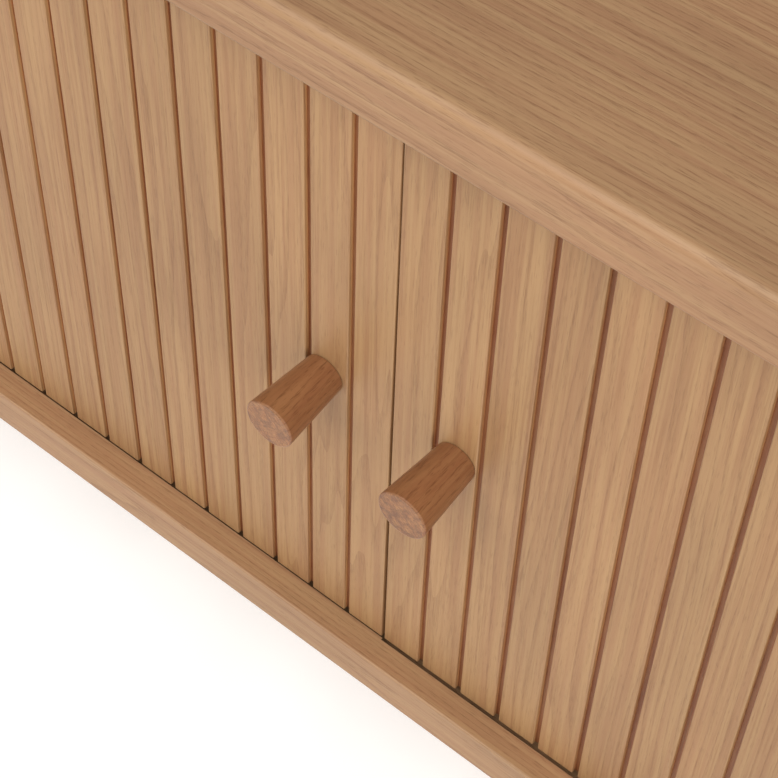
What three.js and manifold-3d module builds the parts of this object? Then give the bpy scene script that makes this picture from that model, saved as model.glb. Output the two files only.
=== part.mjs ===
// Media cabinet: an oak box on four turned legs, closed by two inset doors faced with upright slats.
// Millimetres. +Z is up and the doors face -Y. The origin is on the floor, under the middle of the
// whole object with its knobs.
import * as THREE from 'three';
import { RoundedBoxGeometry } from 'three/addons/geometries/RoundedBoxGeometry.js';
import { mergeVertices } from 'three/addons/utils/BufferGeometryUtils.js';
import Module from 'manifold-3d';

// ---------------------------------------------------------------- driving dimensions

const fit = 0.3;                    // gap left between pieces that touch

const slatPitch = 20;               // one slat and one groove
const slatsPerDoor = 29;
const grooveWidth = 2.5;
const grooveDepth = 2.2;
const slatSheet = 4;                // slats with the sheet that carries them
const doorCore = 16;

const boardThickness = 25;          // top, bottom and both sides
const boardArris = 4;               // the rounding of the box's outer edges
const carcassDepth = 400;
const openingHeight = 313;
const undersideHeight = 150;        // floor to the bottom board
const boardLip = 12.6;              // how far the boards stand in front of the slats
const dividerThickness = 18;

const hingeSideGap = 2.5;
const doorTopGap = 2;
const doorBottomGap = 1.4;
const freeEdge = 0.75;              // half the gap between the doors, at their lower edges
const doorLean = 0.0016;            // radians: wide doors settle towards their free edges
const knobAboveFloor = 155.7;       // above the bottom board

// Each door's lower edge hangs over a channel in the bottom board. The right one starts further out.
const doors = [
  { name: 'left', side: -1, channelLead: 0, knobFromFreeEdge: 31.3 },
  { name: 'right', side: 1, channelLead: 1, knobFromFreeEdge: 29.3 },
];
const channel = { end: 515, behindSlats: 9, depth: 7 };

const pivotFromSide = 32;           // door axis, from the side board's inner face
const pivotBehindSlats = 11;
const pinRadius = 2.5;
const pinReach = 7;                 // how far a pin goes into the carcass
const hingePlate = { length: 40, width: 14, thickness: 2, hole: 2.9 };
const pinPlate = { length: 44, width: 10, thickness: 2 };

const knobLength = 31.4;
const knobBaseRadius = 8.6;
const knobFaceRadius = 10.7;
const knobArris = 0.8;
const knobBaseArris = 0.25;
const knobSeat = 0.12;              // the glue line between a knob and its slat
const knobScrew = { radius: 2, headRadius: 4, headLength: 2.4, depthInKnob: 18 };

const backPanelThickness = 6;
const rebate = { width: 8, depth: 10 };
const outletRadius = 30;
const outletFromCentre = 290;
const outletAboveBottom = 70;
const grommet = { bore: 26, flangeRadius: 35, flangeThickness: 2 };

const shelfThickness = 18;
const shelfSetback = 48;            // behind the slats, clear of the swinging hinge edge
const shelfBackGap = 10;            // cables pass behind the shelf
const shelfSideGap = 1.5;
const shelfHoleSpacing = 32;
const shelfHoleRadius = 2.9;
const shelfHoleDepth = 7;
const shelfPin = { radius: 2.5, flangeRadius: 4, flangeThickness: 1, reach: 9 };
const shelfPinInset = 45;           // from the shelf's front and back edges

const legInset = 62;                // leg axis, from the cabinet's ends and faces
const legTopRadius = 21;
const legFootRadius = 13;
const legPlate = { size: 66, thickness: 3, corner: 8, hole: 4.6 };
const legBolt = { radius: 4, up: 15, down: 40 };
const glide = { radius: 11.5, thickness: 4, nailRadius: 2, nailLength: 12 };

const catchBody = { length: 44, depth: 14, height: 12, fromCentre: 44 };
const strike = { length: 36, height: 12, thickness: 1.2 };
const bumper = { radius: 3, thickness: 2.4, aboveDoorBottom: 30 };

// ---------------------------------------------------------------- worked out from them

const doorOuterEdge = slatsPerDoor * slatPitch - grooveWidth / 2;
const openingHalf = doorOuterEdge + hingeSideGap;
const halfWidth = openingHalf + boardThickness;
const doorHeight = openingHeight - doorTopGap - doorBottomGap;
const doorThickness = slatSheet + fit + doorCore;

const wholeDepth = carcassDepth - boardLip + knobLength;
const slatFaceY = knobLength - wholeDepth / 2;
const carcassFrontY = slatFaceY - boardLip;
const carcassBackY = carcassFrontY + carcassDepth;
const doorBackY = slatFaceY + doorThickness;
const panelFrontY = carcassBackY - rebate.depth + fit;
const dividerFrontY = doorBackY + bumper.thickness + 2 * fit;

const openingBottom = undersideHeight + boardThickness;
const openingTop = openingBottom + openingHeight;
const openingMiddle = (openingBottom + openingTop) / 2;

const pivotX = openingHalf - pivotFromSide;
const pivotY = slatFaceY + pivotBehindSlats;

const shelfFrontY = slatFaceY + shelfSetback;
const shelfBackY = panelFrontY - shelfBackGap;
const shelfInner = dividerThickness / 2 + shelfSideGap;
const shelfOuter = openingHalf - shelfSideGap;
const shelfUnderside = openingMiddle - shelfThickness / 2;
const pinRows = [shelfFrontY + shelfPinInset, shelfBackY - shelfPinInset];
const pinZ = shelfUnderside - fit - shelfPin.radius;

const legX = halfWidth - legInset;
const legRows = [
  { name: 'front', y: carcassFrontY + legInset },
  { name: 'rear', y: carcassBackY - legInset },
];
const sides = [
  { name: 'left', side: -1 },
  { name: 'right', side: 1 },
];

// ---------------------------------------------------------------- materials

const oak = new THREE.MeshStandardMaterial({ color: '#b58c66', roughness: 0.6, metalness: 0 });
const slatOak = new THREE.MeshStandardMaterial({ color: '#b68e68', roughness: 0.6, metalness: 0 });
const knobOak = new THREE.MeshStandardMaterial({ color: '#9c6f49', roughness: 0.5, metalness: 0 });
const oakVeneer = new THREE.MeshStandardMaterial({ color: '#ae875f', roughness: 0.65, metalness: 0 });
const steel = new THREE.MeshStandardMaterial({ color: '#9a9da1', roughness: 0.35, metalness: 1 });
const plastic = new THREE.MeshStandardMaterial({ color: '#3a3633', roughness: 0.55, metalness: 0 });
const rubber = new THREE.MeshStandardMaterial({ color: '#d9d5cc', roughness: 0.8, metalness: 0 });

// ---------------------------------------------------------------- shape helpers

const wasm = await Module();
wasm.setup();

// One closed mesh: shared corners merged, and the flat triangles on a turning axis dropped.
function closed(geometry) {
  const bare = geometry.clone();
  bare.deleteAttribute('normal');
  bare.deleteAttribute('uv');
  const merged = mergeVertices(bare, 1e-4);
  const corners = merged.index.array;
  const kept = [];
  for (let i = 0; i < corners.length; i += 3) {
    const [a, b, c] = corners.slice(i, i + 3);
    if (a !== b && b !== c && c !== a) {
      kept.push(a, b, c);
    }
  }
  merged.setIndex(kept);
  return merged;
}

function toManifold(geometry) {
  const mesh = closed(geometry);
  const vertProperties = new Float32Array(mesh.attributes.position.array);
  const triVerts = new Uint32Array(mesh.index.array);
  return new wasm.Manifold(new wasm.Mesh({ numProp: 3, vertProperties, triVerts }));
}

function fromManifold(solid) {
  const mesh = solid.getMesh();
  const geometry = new THREE.BufferGeometry();
  geometry.setAttribute('position', new THREE.BufferAttribute(mesh.vertProperties, 3));
  geometry.setIndex(new THREE.BufferAttribute(mesh.triVerts, 1));
  geometry.computeVertexNormals();
  return geometry;
}

function cut(geometry, cutters) {
  const solid = cutters.reduce((rest, cutter) => rest.subtract(toManifold(cutter)), toManifold(geometry));
  return fromManifold(solid);
}

function common(one, other) {
  return fromManifold(toManifold(one).intersect(toManifold(other)));
}

function join(geometries) {
  const [first, ...others] = geometries.map(toManifold);
  return fromManifold(others.reduce((whole, next) => whole.add(next), first));
}

// A box from its lowest to its highest corner.
function span(low, high) {
  const size = high.map((value, i) => value - low[i]);
  const middle = high.map((value, i) => (value + low[i]) / 2);
  return new THREE.BoxGeometry(...size).translate(...middle);
}

// A turned piece about Z. The profile lists [radius, height] upwards and starts and ends on the axis.
function turned(profile, sideCount) {
  const points = profile.map(([radius, height]) => new THREE.Vector2(radius, height));
  return closed(new THREE.LatheGeometry(points, sideCount)).rotateX(Math.PI / 2);
}

function rod(radius, low, high, sideCount) {
  return turned([[0, low], [radius, low], [radius, high], [0, high]], sideCount);
}

function ringProfile(points, sideCount) {
  return turned([...points, points[0]], sideCount);
}

// A flat plate in XY with rounded corners, from z = 0 up.
function roundedPlate(length, width, thickness, corner) {
  const x = length / 2;
  const y = width / 2;
  const outline = new THREE.Shape();
  outline.moveTo(-x + corner, -y);
  outline.absarc(x - corner, -y + corner, corner, -Math.PI / 2, 0, false);
  outline.absarc(x - corner, y - corner, corner, 0, Math.PI / 2, false);
  outline.absarc(-x + corner, y - corner, corner, Math.PI / 2, Math.PI, false);
  outline.absarc(-x + corner, -y + corner, corner, Math.PI, 1.5 * Math.PI, false);
  return new THREE.ExtrudeGeometry(outline, { depth: thickness, bevelEnabled: false, curveSegments: 3 });
}

function roundEndedPlate(length, width, thickness) {
  return roundedPlate(length, width, thickness, width / 2 - 0.01);
}

function add(parent, name, geometry, material, x = 0, y = 0, z = 0) {
  const mesh = new THREE.Mesh(geometry, material);
  mesh.name = name;
  mesh.position.set(x, y, z);
  parent.add(mesh);
  return mesh;
}

// ---------------------------------------------------------------- the box

// A board along X whose inner face is z = 0 and whose ends are mitred. It has a rebate for the back.
function mitredBoard(outerHalf) {
  const mitreGap = fit / Math.SQRT2;
  const outer = outerHalf - mitreGap;
  const inner = outer - boardThickness;
  const outline = new THREE.Shape([
    new THREE.Vector2(-inner, 0),
    new THREE.Vector2(inner, 0),
    new THREE.Vector2(outer, boardThickness),
    new THREE.Vector2(-outer, boardThickness),
  ]);
  const blank = new THREE.ExtrudeGeometry(outline, { depth: carcassDepth, bevelEnabled: false });
  blank.rotateX(Math.PI / 2).translate(0, carcassBackY, 0);
  const groove = span(
    [-outerHalf, carcassBackY - rebate.depth, -1],
    [outerHalf, carcassBackY + 1, rebate.width],
  );
  return cut(blank, [groove]);
}

// The whole box as one rounded block. Each board keeps what lies inside it.
function roundedEnvelope() {
  const height = openingHeight + 2 * boardThickness;
  return new RoundedBoxGeometry(2 * halfWidth, carcassDepth, height, 4, boardArris)
    .translate(0, (carcassFrontY + carcassBackY) / 2, openingMiddle);
}

// Recesses for the hinge plates and clearance for the pins, in a board's own frame.
function hingeRecesses() {
  return sides.flatMap(({ side }) => [
    roundEndedPlate(
      hingePlate.length + 2 * fit,
      hingePlate.width + 2 * fit,
      hingePlate.thickness + fit + 1,
    ).translate(side * pivotX, pivotY, -1),
    rod(pinRadius + 2 * fit, -1, pinReach + 2, 16).translate(side * pivotX, pivotY, 0),
  ]);
}

function legBoltHoles() {
  return sides.flatMap(({ side }) => legRows.map(({ y }) => rod(
    legBolt.radius + fit,
    boardThickness - legBolt.up - 1,
    boardThickness + 1,
    16,
  ).translate(side * legX, y, 0)));
}

// The channels under the doors, in the bottom board's own frame, where left and right change sides.
function doorChannels() {
  return doors.map(({ side, channelLead }) => span(
    [Math.min(0, -side * channel.end), slatFaceY - channelLead, -1],
    [Math.max(0, -side * channel.end), slatFaceY + channel.behindSlats, channel.depth],
  ));
}

// Two rows of shelf holes up one inner face, each drilled along the direction of "into".
function shelfHoles(into) {
  const drilled = rod(shelfHoleRadius, -1, shelfHoleDepth, 12).rotateY(into * Math.PI / 2);
  return pinRows.flatMap((y) => [-1, 0, 1].map((step) => (
    drilled.clone().translate(0, y, pinZ + step * shelfHoleSpacing)
  )));
}

// The same holes in the frame of a side board, which stands on its end.
function sideBoardHoles(side) {
  return shelfHoles(side).map((hole) => (
    hole.translate(0, 0, -openingMiddle).rotateY(-side * Math.PI / 2)
  ));
}

function makeFrame(cabinet) {
  const upright = openingHeight / 2 + boardThickness;
  const boards = [
    { name: 'top_panel', half: halfWidth, turn: 0, cutters: hingeRecesses() },
    {
      name: 'bottom_panel',
      half: halfWidth,
      turn: Math.PI,
      cutters: [...hingeRecesses(), ...legBoltHoles(), ...doorChannels()],
    },
    { name: 'side_panel_right', half: upright, turn: Math.PI / 2, cutters: sideBoardHoles(1) },
    { name: 'side_panel_left', half: upright, turn: -Math.PI / 2, cutters: sideBoardHoles(-1) },
  ];
  for (const { name, half, turn, cutters } of boards) {
    const x = Math.sin(turn) * openingHalf;
    const z = openingMiddle + Math.cos(turn) * openingHeight / 2;
    const envelope = roundedEnvelope().translate(-x, 0, -z).rotateY(-turn);
    const board = add(cabinet, name, cut(common(mitredBoard(half), envelope), cutters), oak, x, 0, z);
    board.rotation.y = turn;
  }
}

function makeDivider(cabinet) {
  const half = dividerThickness / 2;
  const blank = span(
    [-half, dividerFrontY, openingBottom + fit],
    [half, panelFrontY - fit, openingTop - fit],
  );
  const holes = sides.flatMap(({ side }) => (
    shelfHoles(-side).map((hole) => hole.translate(side * half, 0, 0))
  ));
  add(cabinet, 'centre_divider', cut(blank, holes), oakVeneer);
}

// ---------------------------------------------------------------- the back and its cable outlets

function makeBack(cabinet) {
  const edge = rebate.width - fit;
  const blank = span(
    [-openingHalf - edge, panelFrontY, openingBottom - edge],
    [openingHalf + edge, panelFrontY + backPanelThickness, openingTop + edge],
  );
  const outletZ = openingBottom + outletAboveBottom;
  const outlet = rod(outletRadius, -1, backPanelThickness + 1, 32).rotateX(-Math.PI / 2);
  const outlets = sides.map(({ side }) => (
    outlet.clone().translate(side * outletFromCentre, panelFrontY, outletZ)
  ));
  add(cabinet, 'back_panel', cut(blank, outlets), oakVeneer);

  // The sleeve goes through the panel and the flange stays on its rear face.
  const sleeveRadius = outletRadius - fit;
  const flangeStart = backPanelThickness + fit;
  const flangeEnd = flangeStart + grommet.flangeThickness;
  const ring = ringProfile([
    [grommet.bore, 0],
    [sleeveRadius, 0],
    [sleeveRadius, flangeStart],
    [grommet.flangeRadius, flangeStart],
    [grommet.flangeRadius, flangeEnd - 0.8],
    [grommet.flangeRadius - 1.2, flangeEnd],
    [grommet.bore, flangeEnd],
  ], 32).rotateX(-Math.PI / 2);
  for (const { name, side } of sides) {
    add(cabinet, `cable_grommet_${name}`, ring, plastic, side * outletFromCentre, panelFrontY, outletZ);
  }
}

// ---------------------------------------------------------------- shelves

function makeShelves(cabinet) {
  const width = shelfOuter - shelfInner;
  const depth = shelfBackY - shelfFrontY;
  const middleX = (shelfInner + shelfOuter) / 2;
  const middleY = (shelfFrontY + shelfBackY) / 2;
  const board = new THREE.BoxGeometry(width, depth, shelfThickness);

  // A pin along +X: the part inside the board, the flange against its face, and the part that carries.
  const pin = turned([
    [0, 1 - shelfHoleDepth],
    [shelfPin.radius, 1 - shelfHoleDepth],
    [shelfPin.radius, fit],
    [shelfPin.flangeRadius, fit],
    [shelfPin.flangeRadius, fit + shelfPin.flangeThickness],
    [shelfPin.radius, fit + shelfPin.flangeThickness],
    [shelfPin.radius, shelfPin.reach],
    [0, shelfPin.reach],
  ], 12).rotateY(Math.PI / 2);

  for (const { name, side } of sides) {
    add(cabinet, `shelf_${name}`, board, oakVeneer, side * middleX, middleY, openingMiddle);
    const supports = [
      { end: 'inner', x: side * dividerThickness / 2, facing: side },
      { end: 'outer', x: side * openingHalf, facing: -side },
    ];
    for (const { end, x, facing } of supports) {
      pinRows.forEach((y, row) => {
        const rowName = legRows[row].name;
        const mesh = add(cabinet, `shelf_pin_${name}_${rowName}_${end}`, pin, steel, x, y, pinZ);
        mesh.rotation.z = facing > 0 ? 0 : Math.PI;
      });
    }
  }
}

// ---------------------------------------------------------------- legs

function makeLegs(cabinet) {
  const plateUnderside = undersideHeight - fit - legPlate.thickness;
  const legTop = plateUnderside - fit;
  const legFoot = glide.thickness + fit;
  const plateHole = rod(legPlate.hole, -1, legPlate.thickness + 1, 16);
  const plate = cut(
    roundedPlate(legPlate.size, legPlate.size, legPlate.thickness, legPlate.corner),
    [plateHole],
  );
  const leg = cut(
    turned([
      [0, legFoot],
      [legFootRadius - 1, legFoot],
      [legFootRadius, legFoot + 1],
      [legTopRadius, legTop - 1],
      [legTopRadius - 1, legTop],
      [0, legTop],
    ], 32),
    [
      rod(legBolt.radius + fit, undersideHeight - legBolt.down - 1, legTop + 1, 16),
      rod(glide.nailRadius + fit, 0, glide.thickness + glide.nailLength + 1, 12),
    ],
  );
  const bolt = rod(legBolt.radius, undersideHeight - legBolt.down, undersideHeight + legBolt.up, 16);
  const foot = turned([
    [0, 0],
    [glide.radius - 0.8, 0],
    [glide.radius, 0.8],
    [glide.radius, glide.thickness],
    [glide.nailRadius, glide.thickness],
    [glide.nailRadius, glide.thickness + glide.nailLength],
    [0, glide.thickness + glide.nailLength],
  ], 24);

  for (const { name, side } of sides) {
    for (const { name: rowName, y } of legRows) {
      const place = `${rowName}_${name}`;
      const x = side * legX;
      add(cabinet, `leg_plate_${place}`, plate, steel, x, y, plateUnderside);
      add(cabinet, `leg_${place}`, leg, oak, x, y);
      add(cabinet, `leg_bolt_${place}`, bolt, steel, x, y);
      add(cabinet, `leg_glide_${place}`, foot, plastic, x, y);
    }
  }
}

// ---------------------------------------------------------------- what the doors turn on and close to

function makeCarcassHardware(cabinet) {
  const plate = cut(
    roundEndedPlate(hingePlate.length, hingePlate.width, hingePlate.thickness),
    [rod(hingePlate.hole, -1, hingePlate.thickness + 1, 16)],
  );
  const catchBlank = roundedPlate(catchBody.length, catchBody.depth, catchBody.height, 2);
  const catchY = doorBackY + 2 * fit + strike.thickness + catchBody.depth / 2 + fit;
  for (const { name, side } of sides) {
    const x = side * pivotX;
    add(cabinet, `hinge_plate_lower_${name}`, plate, steel, x, pivotY, openingBottom - hingePlate.thickness);
    add(cabinet, `hinge_plate_upper_${name}`, plate, steel, x, pivotY, openingTop);
    const catchZ = openingTop - fit - catchBody.height;
    add(cabinet, `magnetic_catch_${name}`, catchBlank, plastic, side * catchBody.fromCentre, catchY, catchZ);
  }
}

// ---------------------------------------------------------------- doors

// The slats of one door in plan: a thin sheet with every slat standing on it, front face at y = 0.
// Distances run from the cabinet's middle to its end, and are turned into x from the door's axis.
function slatOutline(side) {
  const x = (distance) => side * (distance - pivotX);
  const outline = new THREE.Shape();
  outline.moveTo(x(doorOuterEdge), slatSheet);
  outline.lineTo(x(freeEdge), slatSheet);
  outline.lineTo(x(freeEdge), 0);
  for (let slat = 1; slat < slatsPerDoor; slat += 1) {
    const middle = slat * slatPitch;
    outline.lineTo(x(middle - grooveWidth / 2), 0);
    outline.lineTo(x(middle - grooveWidth / 2), grooveDepth);
    outline.lineTo(x(middle + grooveWidth / 2), grooveDepth);
    outline.lineTo(x(middle + grooveWidth / 2), 0);
  }
  outline.lineTo(x(doorOuterEdge), 0);
  outline.closePath();
  return outline;
}

// The profile of a rounded arris, from the side of a turned piece to its end face.
function roundedArris(radius, end, size, steps) {
  return Array.from({ length: steps + 1 }, (_, i) => {
    const angle = (i / steps) * Math.PI / 2;
    return [radius - size * (1 - Math.cos(angle)), end - size * (1 - Math.sin(angle))];
  });
}

function makeKnob() {
  const screwHole = rod(knobScrew.radius + fit, -1, knobScrew.depthInKnob + 1, 16);
  const body = turned([
    [0, knobSeat],
    [knobBaseRadius - knobBaseArris, knobSeat],
    [knobBaseRadius, knobSeat + knobBaseArris],
    ...roundedArris(knobFaceRadius, knobLength, knobArris, 3),
    [0, knobLength],
  ], 56);
  return cut(body, [screwHole]).rotateX(Math.PI / 2);
}

function makeKnobScrew() {
  const coreBack = doorThickness;
  const headStart = coreBack - knobScrew.headLength;
  return turned([
    [0, -knobScrew.depthInKnob],
    [knobScrew.radius, -knobScrew.depthInKnob],
    [knobScrew.radius, headStart],
    [knobScrew.headRadius, headStart],
    [knobScrew.headRadius, coreBack - 0.6],
    [knobScrew.headRadius - 0.6, coreBack],
    [0, coreBack],
  ], 16).rotateX(-Math.PI / 2);
}

// A plate let into the door's edge, with the pin standing on it. Built for the upper edge.
function makePinPlate(gap) {
  const plate = roundEndedPlate(pinPlate.length, pinPlate.width, pinPlate.thickness);
  const top = pinPlate.thickness + gap + pinReach;
  const pin = turned([
    [0, 0.5],
    [pinRadius, 0.5],
    [pinRadius, top - 0.8],
    [pinRadius - 0.8, top],
    [0, top],
  ], 16);
  return join([plate, pin]);
}

function makeDoor(cabinet, { name, side, knobFromFreeEdge }) {
  const lowerEdge = openingBottom + doorBottomGap;
  const x = (distance) => side * (distance - pivotX);
  const upperPinShift = side * doorLean * doorHeight;
  const knobX = x(freeEdge + knobFromFreeEdge);
  const knobHeight = knobAboveFloor - doorBottomGap + doorLean * Math.abs(knobX);
  const coreFront = slatSheet + fit;

  // The leaning group holds the door itself. The pins stay upright.
  const door = new THREE.Group();
  door.position.set(side * pivotX, slatFaceY, lowerEdge);
  cabinet.add(door);
  const leaf = new THREE.Group();
  leaf.rotation.y = -side * doorLean;
  door.add(leaf);

  const screwHole = rod(knobScrew.radius + fit, -1, doorThickness + 1, 16).rotateX(-Math.PI / 2);
  const slats = new THREE.ExtrudeGeometry(slatOutline(side), {
    depth: doorHeight,
    bevelEnabled: false,
  });
  const knobHole = screwHole.clone().translate(knobX, 0, knobHeight);
  add(leaf, `slat_face_${name}`, cut(slats, [knobHole]), slatOak);

  const headRecess = rod(knobScrew.headRadius + fit, -knobScrew.headLength - fit, 1, 16)
    .rotateX(-Math.PI / 2)
    .translate(knobX, doorThickness, knobHeight);
  const pinRecess = roundEndedPlate(
    pinPlate.length + 4 * fit,
    pinPlate.width + 2 * fit,
    pinPlate.thickness + fit + 1,
  ).translate(0, pivotBehindSlats, 0);
  const core = span(
    [Math.min(x(freeEdge), x(doorOuterEdge)), coreFront, 0],
    [Math.max(x(freeEdge), x(doorOuterEdge)), doorThickness, doorHeight],
  );
  const lowerRecess = pinRecess.clone().translate(0, 0, -1);
  const upperRecess = pinRecess.clone()
    .translate(upperPinShift, 0, doorHeight - pinPlate.thickness - fit);
  add(leaf, `door_core_${name}`, cut(core, [knobHole, headRecess, lowerRecess, upperRecess]), oakVeneer);

  add(leaf, `knob_${name}`, makeKnob(), knobOak, knobX, 0, knobHeight);
  add(leaf, `knob_screw_${name}`, makeKnobScrew(), steel, knobX, 0, knobHeight);

  const strikeX = side * (catchBody.fromCentre - pivotX);
  const strikeY = doorThickness + fit + strike.thickness;
  const strikeZ = openingTop - lowerEdge - fit - catchBody.height / 2;
  const strikeBlank = roundedPlate(strike.length, strike.height, strike.thickness, 2).rotateX(Math.PI / 2);
  add(door, `strike_plate_${name}`, strikeBlank, steel, strikeX, strikeY, strikeZ);

  const bumperX = x(dividerThickness / 2 - bumper.radius - 0.5);
  const pad = rod(bumper.radius, 0, bumper.thickness, 16).rotateX(-Math.PI / 2);
  add(leaf, `door_bumper_${name}`, pad, rubber, bumperX, doorThickness + fit, bumper.aboveDoorBottom);

  const lowerPin = makePinPlate(doorBottomGap).rotateX(Math.PI);
  const pinBase = pinPlate.thickness;
  add(door, `hinge_pin_lower_${name}`, lowerPin, steel, 0, pivotBehindSlats, pinBase);
  const upperPin = makePinPlate(doorTopGap);
  add(door, `hinge_pin_upper_${name}`, upperPin, steel, 0, pivotBehindSlats, doorHeight - pinBase);
}

// ---------------------------------------------------------------- assembly

const cabinet = new THREE.Group();
makeFrame(cabinet);
makeDivider(cabinet);
makeBack(cabinet);
makeShelves(cabinet);
makeLegs(cabinet);
makeCarcassHardware(cabinet);
for (const door of doors) {
  makeDoor(cabinet, door);
}

export default cabinet;
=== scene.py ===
"""Media cabinet: eased edges, oak and hardware materials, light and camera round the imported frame."""
import math

import bpy
from mathutils import Matrix, Vector


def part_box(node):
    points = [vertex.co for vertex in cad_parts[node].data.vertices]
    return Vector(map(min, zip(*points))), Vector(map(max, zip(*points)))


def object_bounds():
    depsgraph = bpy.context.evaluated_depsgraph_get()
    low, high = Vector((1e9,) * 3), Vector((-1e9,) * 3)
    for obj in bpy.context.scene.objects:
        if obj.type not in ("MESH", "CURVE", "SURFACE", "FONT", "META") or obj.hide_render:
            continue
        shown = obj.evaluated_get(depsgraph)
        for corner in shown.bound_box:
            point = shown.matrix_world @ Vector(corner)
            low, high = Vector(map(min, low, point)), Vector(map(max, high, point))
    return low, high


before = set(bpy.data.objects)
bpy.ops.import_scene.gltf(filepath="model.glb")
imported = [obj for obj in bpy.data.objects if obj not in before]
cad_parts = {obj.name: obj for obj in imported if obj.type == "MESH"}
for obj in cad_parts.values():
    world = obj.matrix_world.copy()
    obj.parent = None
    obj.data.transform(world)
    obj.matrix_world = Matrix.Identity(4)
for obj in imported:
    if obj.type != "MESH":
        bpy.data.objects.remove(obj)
cad_low, cad_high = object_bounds()

MM = 0.001
SLAT_PITCH = 20 * MM
GROOVE_DEPTH = 2.2 * MM

slat_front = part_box("slat_face_right")[0].y
hinge_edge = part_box("slat_face_right")[1].x - 3 * MM
opening_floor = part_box("bottom_panel")[1].z


# ---------------------------------------------------------------- node helpers

class Graph:
    """A thin wrapper that adds nodes to a tree and links what it is given."""

    def __init__(self, tree):
        self.tree = tree

    def add(self, kind, inputs=None, **settings):
        node = self.tree.nodes.new(kind)
        for name, value in settings.items():
            setattr(node, name, value)
        for key, value in (inputs or {}).items():
            self.put(node.inputs[key], value)
        return node

    def put(self, target, value):
        if isinstance(value, bpy.types.NodeSocket):
            self.tree.links.new(value, target)
        else:
            target.default_value = value

    def math(self, operation, first, second=0.0, third=0.0):
        node = self.add("ShaderNodeMath", {0: first, 1: second, 2: third}, operation=operation)
        return node.outputs[0]

    def vector(self, operation, first, second=(0, 0, 0)):
        node = self.add("ShaderNodeVectorMath", {0: first, 1: second}, operation=operation)
        return node.outputs["Value" if operation == "LENGTH" else "Vector"]

    def split(self, vector):
        return self.add("ShaderNodeSeparateXYZ", {0: vector}).outputs

    def join(self, x, y, z):
        return self.add("ShaderNodeCombineXYZ", {0: x, 1: y, 2: z}).outputs[0]

    def noise(self, vector, stretch, detail=2.0, roughness=0.5):
        """Noise between 0 and 1, with its own number of features per metre on each axis."""
        scaled = self.vector("MULTIPLY", vector, stretch)
        node = self.add(
            "ShaderNodeTexNoise",
            {"Vector": scaled, "Scale": 1.0, "Detail": detail, "Roughness": roughness},
        )
        return node.outputs["Fac"]

    def spread(self, value, low, high, new_low=0.0, new_high=1.0):
        """The range low to high stretched to new_low to new_high, smoothly and clamped."""
        node = self.add(
            "ShaderNodeMapRange",
            {"Value": value, "From Min": low, "From Max": high, "To Min": new_low, "To Max": new_high},
            interpolation_type="SMOOTHSTEP",
        )
        return node.outputs["Result"]

    def blend(self, amount, first, second, how="MIX"):
        node = self.add("ShaderNodeMix", data_type="RGBA", blend_type=how)
        self.put(node.inputs["Factor"], amount)
        self.put(node.inputs[6], first)
        self.put(node.inputs[7], second)
        return node.outputs[2]

    def tint(self, shade, tone):
        return self.blend(1.0, shade, tone, "MULTIPLY")

    def normal(self):
        """The way the surface faces, in the cabinet's axes at rest."""
        return self.add("ShaderNodeTexCoord").outputs["Normal"]

    def grey(self, value):
        """A number as a grey colour."""
        return self.add("ShaderNodeCombineColor", {0: value, 1: value, 2: value}).outputs[0]


def colour(red, green, blue):
    """A colour given as on a screen, 0 to 255, made linear."""
    def linear(level):
        level /= 255
        return level / 12.92 if level <= 0.04045 else ((level + 0.055) / 1.055) ** 2.4
    return (linear(red), linear(green), linear(blue), 1.0)


def material(name, roughness=0.5, metallic=0.0, specular=0.5):
    """A new material's graph, its shader and its rest position in metres."""
    made = bpy.data.materials.new(name)
    made.use_nodes = True
    graph = Graph(made.node_tree)
    shader = made.node_tree.nodes["Principled BSDF"]
    shader.inputs["Roughness"].default_value = roughness
    shader.inputs["Metallic"].default_value = metallic
    shader.inputs["Specular IOR Level"].default_value = specular
    place = graph.add("ShaderNodeTexCoord").outputs["Object"]
    return made, graph, shader, place


def bump(graph, shader, height, strength, distance):
    node = graph.add("ShaderNodeBump", {"Strength": strength, "Distance": distance, "Height": height})
    graph.put(shader.inputs["Normal"], node.outputs["Normal"])


# ---------------------------------------------------------------- oak

OAK_PALE = colour(176, 139, 102)
OAK_PINK = colour(165, 124, 91)
OAK_DARK = colour(134, 94, 62)
OAK_PORE = colour(104, 64, 38)
# Painted highlight: the pale colour laid on rounded arrises.
OAK_PAINTED_HIGHLIGHT = colour(208, 178, 146)
WHITE = (1, 1, 1, 1)

# Each of these is multiplied with the oak's own colour.
BOARD_TINT = (0.90, 0.89, 0.86)
SLAT_TINT = (0.87, 0.845, 0.745)
KNOB_TINT = (0.635, 0.485, 0.39)
SLAT_TONES = (1.04, 1.03, 1.01, 1), (0.96, 0.95, 0.93, 1)
GROOVE_FLOOR = (0.68, 0.43, 0.35, 1)
# Painted light: raises the colour of the groove walls, which lie in shade.
GROOVE_WALL_PAINTED_LIGHT = (1.85, 1.86, 1.78, 1)
# Painted sheen on the end grain, in a darker and a paler tone.
PAINTED_SHEEN_TONES = (0.86, 0.82, 0.76, 1), (1.24, 1.24, 1.08, 1)
RAY_TONES = (0.82, 0.81, 0.79, 1), (1.20, 1.21, 1.17, 1)
SPECK_TONE = (0.78, 0.76, 0.76, 1)

RING_WIDTH = 2.6 * MM
RING_WANDER = 26 * MM
RING_UNEVENNESS = 1.6               # in rings

# Features per metre: two axes across the grain, then along it.
WANDER_GRAIN = (9, 9, 2.2)
UNEVEN_GRAIN = (120, 120, 3)
FIBRE_GRAIN = (1100, 1100, 22)
STRAND_GRAIN = (340, 340, 7)
MOTTLE_GRAIN = (30, 30, 9)
PORE_GRAIN = (2600, 2600, 170)
FLECK_GRAIN = (420, 420, 95)

# How much of the second colour each layer lets in.
STREAK_WEIGHT = 0.42
RING_WEIGHT = 0.45
LATE_WOOD_WEIGHT = 0.10
FLECK_WEIGHT = 0.22
MOTTLE_RANGE = (0.93, 1.06)


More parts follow.
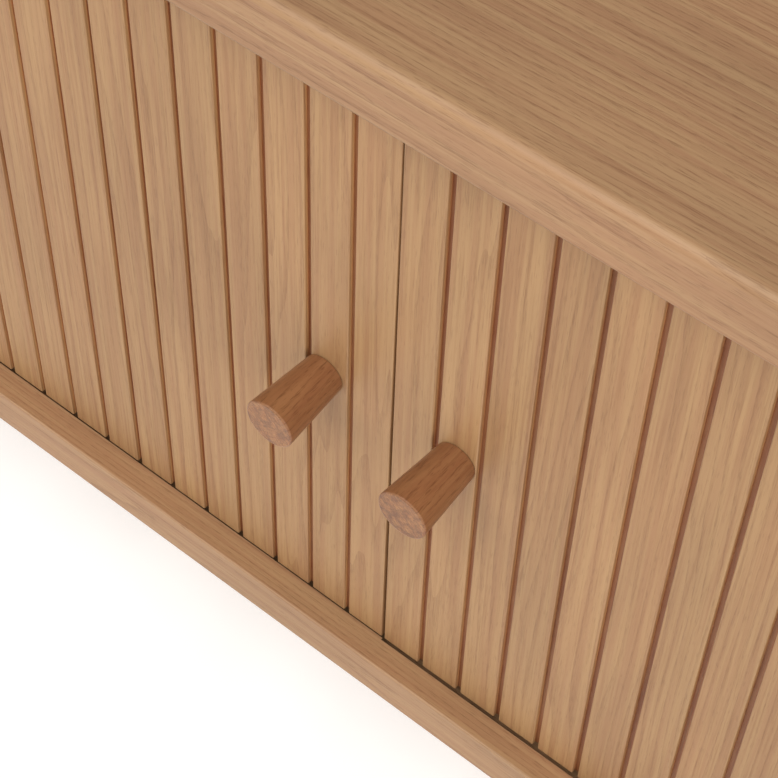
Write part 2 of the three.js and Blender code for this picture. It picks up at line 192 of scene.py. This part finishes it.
def oak_group():
    """Solid oak: rings round a distant pith along Z, with fibres, pores and slow changes of tone."""
    tree = bpy.data.node_groups.new("oak", "ShaderNodeTree")
    face = tree.interface
    for name in ("Place", "Pith"):
        face.new_socket(name, in_out="INPUT", socket_type="NodeSocketVector")
    for name in ("Seed", "Figure", "Pores"):
        face.new_socket(name, in_out="INPUT", socket_type="NodeSocketFloat")
    face.new_socket("Colour", in_out="OUTPUT", socket_type="NodeSocketColor")
    for name in ("Height", "Roughness"):
        face.new_socket(name, in_out="OUTPUT", socket_type="NodeSocketFloat")
    graph = Graph(tree)
    given = graph.add("NodeGroupInput").outputs
    seed = given["Seed"]

    apart = graph.add("ShaderNodeVectorMath", {0: (7.1, 3.7, 5.3), "Scale": seed}, operation="SCALE")
    place = graph.vector("ADD", given["Place"], apart.outputs["Vector"])

    wander = graph.add(
        "ShaderNodeTexNoise",
        {"Vector": graph.vector("MULTIPLY", place, WANDER_GRAIN), "Scale": 1.0, "Detail": 2.0},
    ).outputs["Color"]
    wander = graph.vector("SUBTRACT", wander, (0.5, 0.5, 0.5))
    wander = graph.vector("MULTIPLY", wander, (RING_WANDER, RING_WANDER, 0))
    across = graph.vector("MULTIPLY", graph.vector("SUBTRACT", given["Place"], given["Pith"]), (1, 1, 0))
    radius = graph.vector("LENGTH", graph.vector("ADD", across, wander))
    uneven = graph.math("MULTIPLY", graph.noise(place, UNEVEN_GRAIN, 1.0), RING_UNEVENNESS)
    phase = graph.math("FRACT", graph.math("ADD", graph.math("DIVIDE", radius, RING_WIDTH), uneven))
    early = graph.spread(phase, 0.0, 0.42, 1.0, 0.0)
    late = graph.spread(phase, 0.55, 1.0)

    fibre = graph.noise(place, FIBRE_GRAIN, 3.0, 0.62)
    strand = graph.noise(place, STRAND_GRAIN, 2.0)
    mottle = graph.noise(place, MOTTLE_GRAIN, 2.0)
    pore_place = graph.math("MULTIPLY_ADD", early, 0.12, graph.noise(place, PORE_GRAIN, 1.0))
    pores = graph.spread(pore_place, 0.58, 0.74)
    fleck = graph.spread(graph.noise(place, FLECK_GRAIN, 1.0), 0.66, 0.78)

    body = graph.blend(graph.spread(strand, 0.3, 0.7), OAK_PALE, OAK_PINK)
    streak = graph.math("MULTIPLY", graph.spread(fibre, 0.42, 0.8), STREAK_WEIGHT)
    body = graph.blend(streak, body, OAK_DARK)
    ring_shade = graph.math("MULTIPLY", graph.math("MULTIPLY", early, given["Figure"]), RING_WEIGHT)
    body = graph.blend(ring_shade, body, OAK_DARK)
    body = graph.blend(graph.math("MULTIPLY", late, LATE_WOOD_WEIGHT), body, OAK_PALE)
    body = graph.blend(graph.math("MULTIPLY", fleck, FLECK_WEIGHT), body, OAK_PALE)
    body = graph.blend(graph.math("MULTIPLY", pores, given["Pores"]), body, OAK_PORE)
    body = graph.tint(body, graph.grey(graph.spread(mottle, 0.25, 0.75, *MOTTLE_RANGE)))

    height = graph.math("MULTIPLY_ADD", pores, -0.8, graph.math("MULTIPLY", fibre, 0.35))
    roughness = graph.math("MULTIPLY_ADD", fibre, 0.14, 0.44)
    graph.add("NodeGroupOutput", {"Colour": body, "Height": height, "Roughness": roughness})
    return tree


OAK = oak_group()


def end_face(graph, shade, place, amount):
    """The end grain of a turned piece: rays and pores seen head on, under pale and dark blotches of painted
    sheen.
    """
    # The pale and dark blotches are painted sheen; the rays and specks are the wood's own.
    sheen_patches = graph.spread(graph.noise(place, (300, 300, 300), 2.0), 0.35, 0.65)
    x, y, z = graph.split(place)
    across = graph.join(graph.math("ADD", x, z), y, graph.math("SUBTRACT", x, z))
    rays = graph.spread(graph.noise(across, (2600, 2600, 260), 2.0), 0.42, 0.66)
    specks = graph.spread(graph.noise(place, (1500, 1500, 1500), 1.0), 0.56, 0.70)
    tone = graph.blend(sheen_patches, *PAINTED_SHEEN_TONES)
    tone = graph.tint(tone, graph.blend(rays, *RAY_TONES))
    tone = graph.tint(tone, graph.blend(specks, WHITE, SPECK_TONE))
    return graph.tint(shade, graph.blend(amount, WHITE, tone))


def groove_colour_and_painted_light(graph, shade, place, sides, slat_face):
    """Brown floors in the grooves and walls beside them made paler by painted light, and little of either
    on the free edge.
    """
    x, y, z = graph.split(place)
    floor = slat_face + GROOVE_DEPTH
    from_middle = graph.math("ABSOLUTE", x)
    groove = graph.math(
        "MULTIPLY",
        graph.spread(from_middle, 2 * MM, 4 * MM, 0.25, 1.0),
        graph.math("LESS_THAN", from_middle, hinge_edge),
    )
    groove = graph.math("MULTIPLY", groove, graph.math("LESS_THAN", sides[2], 0.5))
    depth = graph.math("MULTIPLY", graph.spread(y, floor - 0.7 * MM, floor - 0.1 * MM), groove)
    patchy = graph.spread(graph.noise(place, (500, 500, 60), 3.0), 0.3, 0.7, 0.75, 1.0)
    shade = graph.tint(shade, graph.blend(graph.math("MULTIPLY", depth, patchy), WHITE, GROOVE_FLOOR))
    # Painted light: the groove walls, which lie in shade, are made paler, more so deeper in.
    inward = graph.math("MULTIPLY", graph.spread(y, slat_face + 0.3 * MM, floor), groove)
    painted_wall_light = graph.math("MULTIPLY", graph.spread(sides[0], 0.75, 0.95), inward)
    return graph.tint(shade, graph.blend(painted_wall_light, WHITE, GROOVE_WALL_PAINTED_LIGHT))


def oak(
    name, along, seed=0.0, pith=(0.03, 0.11, 0.0), figure=0.5, pores=0.3, tint=BOARD_TINT,
    painted_highlight=0.12, gloss=0.0, slat_face=None, end_grain=False,
):
    """Oak whose grain runs along one axis of the cabinet, with a painted highlight on its arrises.

    Given the place of a slat face, each slat has its own figure and tone, and the grooves get brown floors
    and walls made paler by painted light.
    """
    made, graph, shader, place = material(name, specular=0.35)
    x, y, z = graph.split(place)
    grain = graph.join(*{"X": (z, y, x), "Y": (x, z, y), "Z": (x, y, z)}[along])
    number = seed
    if slat_face is not None:
        index = graph.math("FLOOR", graph.math("DIVIDE", x, SLAT_PITCH))
        white = graph.add("ShaderNodeTexWhiteNoise", {"W": index}, noise_dimensions="1D").outputs
        number = graph.math("ADD", white["Value"], seed)
        grain = graph.vector("ADD", grain, graph.vector("MULTIPLY", white["Color"], (0.09, 0.05, 0)))
    given = {"Place": grain, "Pith": pith, "Seed": number, "Figure": figure, "Pores": pores}
    wood = graph.add("ShaderNodeGroup", node_tree=OAK)
    for key, value in given.items():
        graph.put(wood.inputs[key], value)
    shade = graph.tint(wood.outputs["Colour"], tint + (1,))
    sides = [graph.math("ABSOLUTE", part) for part in graph.split(graph.normal())]
    squareness = graph.math("MAXIMUM", graph.math("MAXIMUM", sides[0], sides[1]), sides[2])
    # Painted highlight: arrises are made paler the further their faces turn from square.
    shade = graph.blend(graph.spread(squareness, 0.98, 0.76, 0.0, painted_highlight), shade, OAK_PAINTED_HIGHLIGHT)
    if end_grain:
        shade = end_face(graph, shade, place, graph.spread(sides[1], 0.8, 0.97))
    if slat_face is not None:
        shade = graph.tint(shade, graph.blend(white["Value"], *SLAT_TONES))
        shade = groove_colour_and_painted_light(graph, shade, place, sides, slat_face)
    graph.put(shader.inputs["Base Color"], shade)
    graph.put(shader.inputs["Roughness"], graph.math("SUBTRACT", wood.outputs["Roughness"], gloss))
    bump(graph, shader, wood.outputs["Height"], 0.3, 0.1 * MM)
    return made


# ---------------------------------------------------------------- metal, plastic and rubber

def brushed(name, base, roughness, lines):
    """Plated or painted metal with fine drawn lines and slight wear in its gloss."""
    made, graph, shader, place = material(name, roughness, 1.0)
    scratch = graph.noise(place, lines, 3.0, 0.6)
    cloud = graph.noise(place, (60, 60, 60), 2.0)
    shade = graph.blend(graph.spread(cloud, 0.3, 0.7), base, tuple(0.82 * part for part in base[:3]) + (1,))
    graph.put(shader.inputs["Base Color"], shade)
    graph.put(shader.inputs["Roughness"], graph.math("MULTIPLY_ADD", scratch, 0.22, roughness))
    bump(graph, shader, scratch, 0.15, 0.05 * MM)
    return made


def moulded(name, base, roughness, grain):
    """Moulded plastic, powder coat or rubber: an even colour broken by a fine texture."""
    made, graph, shader, place = material(name, roughness)
    texture = graph.noise(place, (grain, grain, grain), 3.0, 0.6)
    cloud = graph.noise(place, (45, 45, 45), 2.0)
    darker = tuple(0.75 * part for part in base[:3]) + (1,)
    shade = graph.blend(graph.spread(cloud, 0.3, 0.7), base, darker)
    graph.put(shader.inputs["Base Color"], shade)
    graph.put(shader.inputs["Roughness"], graph.math("MULTIPLY_ADD", texture, 0.25, roughness))
    bump(graph, shader, texture, 0.25, 0.1 * MM)
    return made


# ---------------------------------------------------------------- eased edges and smooth rounds

def arris_group():
    """Marks for the bevel each long square outer edge that starts in front of a given depth."""
    tree = bpy.data.node_groups.new("arrises", "GeometryNodeTree")
    face = tree.interface
    face.new_socket("Geometry", in_out="INPUT", socket_type="NodeSocketGeometry")
    face.new_socket("Shortest", in_out="INPUT", socket_type="NodeSocketFloat")
    face.new_socket("Furthest back", in_out="INPUT", socket_type="NodeSocketFloat")
    face.new_socket("Geometry", in_out="OUTPUT", socket_type="NodeSocketGeometry")
    graph = Graph(tree)
    given = graph.add("NodeGroupInput").outputs
    ends = graph.add("GeometryNodeInputMeshEdgeVertices").outputs
    length = graph.add(
        "ShaderNodeVectorMath",
        {0: ends["Position 1"], 1: ends["Position 2"]},
        operation="DISTANCE",
    ).outputs["Value"]
    long_enough = graph.math("GREATER_THAN", length, given["Shortest"])
    angle = graph.add("GeometryNodeInputMeshEdgeAngle").outputs["Signed Angle"]
    square = graph.math("COMPARE", angle, math.radians(90), math.radians(25))
    before = graph.math("LESS_THAN", graph.split(ends["Position 1"])[1], given["Furthest back"])
    weight = graph.math("MULTIPLY", graph.math("MULTIPLY", long_enough, square), before)
    marked = graph.add(
        "GeometryNodeStoreNamedAttribute",
        {"Geometry": given["Geometry"], "Name": "bevel_weight_edge", "Value": weight},
        data_type="FLOAT",
        domain="EDGE",
    ).outputs["Geometry"]
    graph.add("NodeGroupOutput", {"Geometry": marked})
    return tree


def shading_group():
    """Smooth faces, with creases left sharp."""
    tree = bpy.data.node_groups.new("shading", "GeometryNodeTree")
    face = tree.interface
    face.new_socket("Geometry", in_out="INPUT", socket_type="NodeSocketGeometry")
    face.new_socket("Geometry", in_out="OUTPUT", socket_type="NodeSocketGeometry")
    graph = Graph(tree)
    given = graph.add("NodeGroupInput").outputs
    smooth = graph.add(
        "GeometryNodeSetShadeSmooth",
        {"Geometry": given["Geometry"], "Shade Smooth": True},
        domain="FACE",
    ).outputs[0]
    angle = graph.add("GeometryNodeInputMeshEdgeAngle").outputs["Unsigned Angle"]
    crease = graph.math("GREATER_THAN", angle, math.radians(38))
    creased = graph.add(
        "GeometryNodeSetShadeSmooth",
        {"Geometry": smooth, "Selection": crease, "Shade Smooth": False},
        domain="EDGE",
    ).outputs[0]
    graph.add("NodeGroupOutput", {"Geometry": creased})
    return tree


ARRISES = arris_group()
SHADING = shading_group()


def ease(node, width, shortest, segments=3, furthest_back=1.0):
    """Gives a CAD node rounded long square edges and smooth round faces, by modifiers alone."""
    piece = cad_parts[node]
    weld = piece.modifiers.new("weld", "WELD")
    weld.merge_threshold = 0.01 * MM
    flat = piece.modifiers.new("flat", "DECIMATE")
    flat.decimate_type = "DISSOLVE"
    flat.angle_limit = math.radians(0.5)
    if width:
        marks = piece.modifiers.new("marks", "NODES")
        marks.node_group = ARRISES
        marks["Socket_1"] = shortest
        marks["Socket_2"] = furthest_back
        bevel = piece.modifiers.new("bevel", "BEVEL")
        bevel.limit_method = "WEIGHT"
        bevel.width = width
        bevel.segments = segments
        bevel.use_clamp_overlap = False
    shading = piece.modifiers.new("shading", "NODES")
    shading.node_group = SHADING
    normals = piece.modifiers.new("normals", "WEIGHTED_NORMAL")
    normals.keep_sharp = True


def paint(node, made):
    """Gives a CAD node one material."""
    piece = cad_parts[node]
    piece.data.materials.clear()
    piece.data.materials.append(made)


# ---------------------------------------------------------------- the cabinet's finishes

SIDES = ("left", "right")


def finish_boards():
    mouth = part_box("top_panel")[0].y + 1 * MM
    lying = (("top_panel", 1.3), ("bottom_panel", 4.9))
    for node, seed in lying:
        paint(node, oak(f"oak_{node}", "X", seed, pith=(0.25, 0.42, 0), figure=0.5, pores=0.30))
        ease(node, 1.0 * MM, 60 * MM, furthest_back=mouth)
    for seed, side in enumerate(SIDES, 7):
        paint(f"side_panel_{side}", oak(f"oak_side_{side}", "Z", seed, pith=(0.2, 0.1, 0), figure=0.45))
        ease(f"side_panel_{side}", 1.0 * MM, 60 * MM, furthest_back=mouth)
    paint("centre_divider", oak("oak_divider", "Z", 11, pith=(0.3, 0.2, 0), figure=0.4))
    ease("centre_divider", 0.6 * MM, 14 * MM)
    paint("back_panel", oak("oak_back", "X", 15, pith=(0.35, 0.5, 0), figure=0.6))
    ease("back_panel", 0.4 * MM, 40 * MM, 2)
    for seed, side in enumerate(SIDES, 18):
        paint(f"shelf_{side}", oak(f"oak_shelf_{side}", "X", seed, pith=(0.1, 0.3, 0), figure=0.4))
        ease(f"shelf_{side}", 0.6 * MM, 14 * MM)


def finish_doors():
    for seed, side in enumerate(SIDES, 22):
        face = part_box(f"slat_face_{side}")[0].y
        slats = oak(
            f"oak_slats_{side}", "Z", seed, (0.02, 0.05, 0), pores=0.2, tint=SLAT_TINT, painted_highlight=0.1,
            slat_face=face,
        )
        paint(f"slat_face_{side}", slats)
        ease(f"slat_face_{side}", 0.6 * MM, 10 * MM)
        paint(f"door_core_{side}", oak(f"oak_core_{side}", "Z", seed + 4, pith=(0.3, 0.25, 0)))
        ease(f"door_core_{side}", 0.5 * MM, 14 * MM, 2)
        low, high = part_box(f"knob_{side}")
        middle = (low + high) / 2
        pith = (middle.x - 0.031, middle.z + 0.046, 0)
        knob = oak(
            f"oak_knob_{side}", "Y", seed * 3.1, pith, figure=0.3, pores=0.45, tint=KNOB_TINT, painted_highlight=0,
            gloss=0.14, end_grain=True,
        )
        paint(f"knob_{side}", knob)
        ease(f"knob_{side}", 0, 0)


def finish_legs():
    for row in ("front", "rear"):
        for side in SIDES:
            seed = 40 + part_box(f"leg_{row}_{side}")[0].x * 9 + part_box(f"leg_{row}_{side}")[0].y * 5
            low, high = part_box(f"leg_{row}_{side}")
            pith = ((low.x + high.x) / 2 + 0.05, (low.y + high.y) / 2 - 0.04, 0)
            paint(f"leg_{row}_{side}", oak(f"oak_leg_{row}_{side}", "Z", seed, pith=pith, figure=0.7))
            ease(f"leg_{row}_{side}", 0, 0)


def finish_hardware():
    steel = brushed("nickel_plate", (0.62, 0.60, 0.56, 1), 0.28, (900, 90, 900))
    black = moulded("powder_coat", (0.022, 0.021, 0.020, 1), 0.42, 1500)
    plastic = moulded("dark_plastic", (0.035, 0.030, 0.027, 1), 0.45, 1200)
    nylon = moulded("pale_nylon", (0.52, 0.49, 0.44, 1), 0.45, 900)
    rubber = moulded("clear_rubber", (0.60, 0.58, 0.53, 1), 0.55, 700)
    by_name = (
        ("leg_plate", black),
        ("leg_glide", nylon),
        ("leg_bolt", steel),
        ("shelf_pin", steel),
        ("hinge_", steel),
        ("strike_plate", steel),
        ("knob_screw", steel),
        ("cable_grommet", plastic),
        ("magnetic_catch", plastic),
        ("door_bumper", rubber),
    )
    for node in sorted(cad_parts):
        for start, made in by_name:
            if node.startswith(start):
                paint(node, made)
                ease(node, 0, 0)


finish_boards()
finish_doors()
finish_legs()
finish_hardware()


# ---------------------------------------------------------------- floor, light and camera

LIT_POINT = Vector((0, 0, 0.3))
FLOOR_REACH = 14.0
FLOOR_GLOW = (0.97, 0.99, 1, 1)
FLOOR_GLOW_STRENGTH = 0.32
SKY_STRENGTH = 0.375

# The camera's place is measured from the gap between the doors, the slats and the bottom board.
CAMERA_RIGHT = 0.2721
CAMERA_BEFORE = 0.3586
CAMERA_ABOVE = 0.7582
CAMERA_HEADING = 37.37              # degrees to the left of straight ahead
CAMERA_DOWN = 52.46
CAMERA_ROLL = 2.27
CAMERA_LENS = 96.03
CAMERA_SENSOR = 36


def make_floor():
    made, graph, shader, place = material("studio_floor", 0.9, specular=0.1)
    speckle = graph.noise(place, (14, 14, 14), 3.0)
    shade = graph.blend(graph.spread(speckle, 0.3, 0.7), (0.80, 0.80, 0.80, 1), (0.84, 0.84, 0.84, 1))
    graph.put(shader.inputs["Base Color"], shade)
    shader.inputs["Emission Color"].default_value = FLOOR_GLOW
    shader.inputs["Emission Strength"].default_value = FLOOR_GLOW_STRENGTH
    mesh = bpy.data.meshes.new("floor")
    near, far = -FLOOR_REACH, FLOOR_REACH
    corners = [(near, near, 0), (far, near, 0), (far, far, 0), (near, far, 0)]
    mesh.from_pydata(corners, [], [(0, 1, 2, 3)])
    floor = bpy.data.objects.new("studio_floor", mesh)
    floor.location.z = cad_low.z - 0.2 * MM
    mesh.materials.append(made)
    bpy.context.scene.collection.objects.link(floor)


def soft_light(name, turn, height, away, size, power, tone):
    """An area light facing the cabinet, turned to the right of its front and raised, in degrees."""
    data = bpy.data.lights.new(name, "AREA")
    data.shape = "RECTANGLE"
    data.size, data.size_y = size
    data.energy = power
    data.color = tone
    light = bpy.data.objects.new(name, data)
    heading, rise = math.radians(turn), math.radians(height)
    flat = away * math.cos(rise)
    offset = Vector((flat * math.sin(heading), -flat * math.cos(heading), away * math.sin(rise)))
    light.location = LIT_POINT + offset
    light.rotation_euler = (-offset).to_track_quat("-Z", "Y").to_euler()
    bpy.context.scene.collection.objects.link(light)


def make_lights():
    world = bpy.data.worlds.new("studio")
    bpy.context.scene.world = world
    world.use_nodes = True
    sky = world.node_tree.nodes["Background"]
    sky.inputs["Color"].default_value = (1.0, 1.0, 1.0, 1)
    sky.inputs["Strength"].default_value = SKY_STRENGTH
    soft_light("key", turn=-14, height=50, away=3.4, size=(3.2, 2.6), power=90, tone=(1.0, 0.985, 0.95))
    soft_light("fill", turn=60, height=25, away=3.2, size=(2.2, 2.2), power=45, tone=(1.0, 0.98, 0.95))


def make_camera():
    data = bpy.data.cameras.new("camera")
    data.lens = CAMERA_LENS
    data.sensor_width = CAMERA_SENSOR
    data.clip_start = 0.01
    data.clip_end = 60
    camera = bpy.data.objects.new("camera", data)
    camera.location = (CAMERA_RIGHT, slat_front - CAMERA_BEFORE, opening_floor + CAMERA_ABOVE)
    heading = Matrix.Rotation(math.radians(CAMERA_HEADING), 4, "Z")
    tilt = Matrix.Rotation(math.radians(90 - CAMERA_DOWN), 4, "X")
    roll = Matrix.Rotation(math.radians(CAMERA_ROLL), 4, "Z")
    camera.rotation_euler = (heading @ tilt @ roll).to_euler()
    bpy.context.scene.collection.objects.link(camera)
    bpy.context.scene.camera = camera


make_floor()
make_lights()
make_camera()
bpy.context.scene.view_settings.view_transform = "Standard"
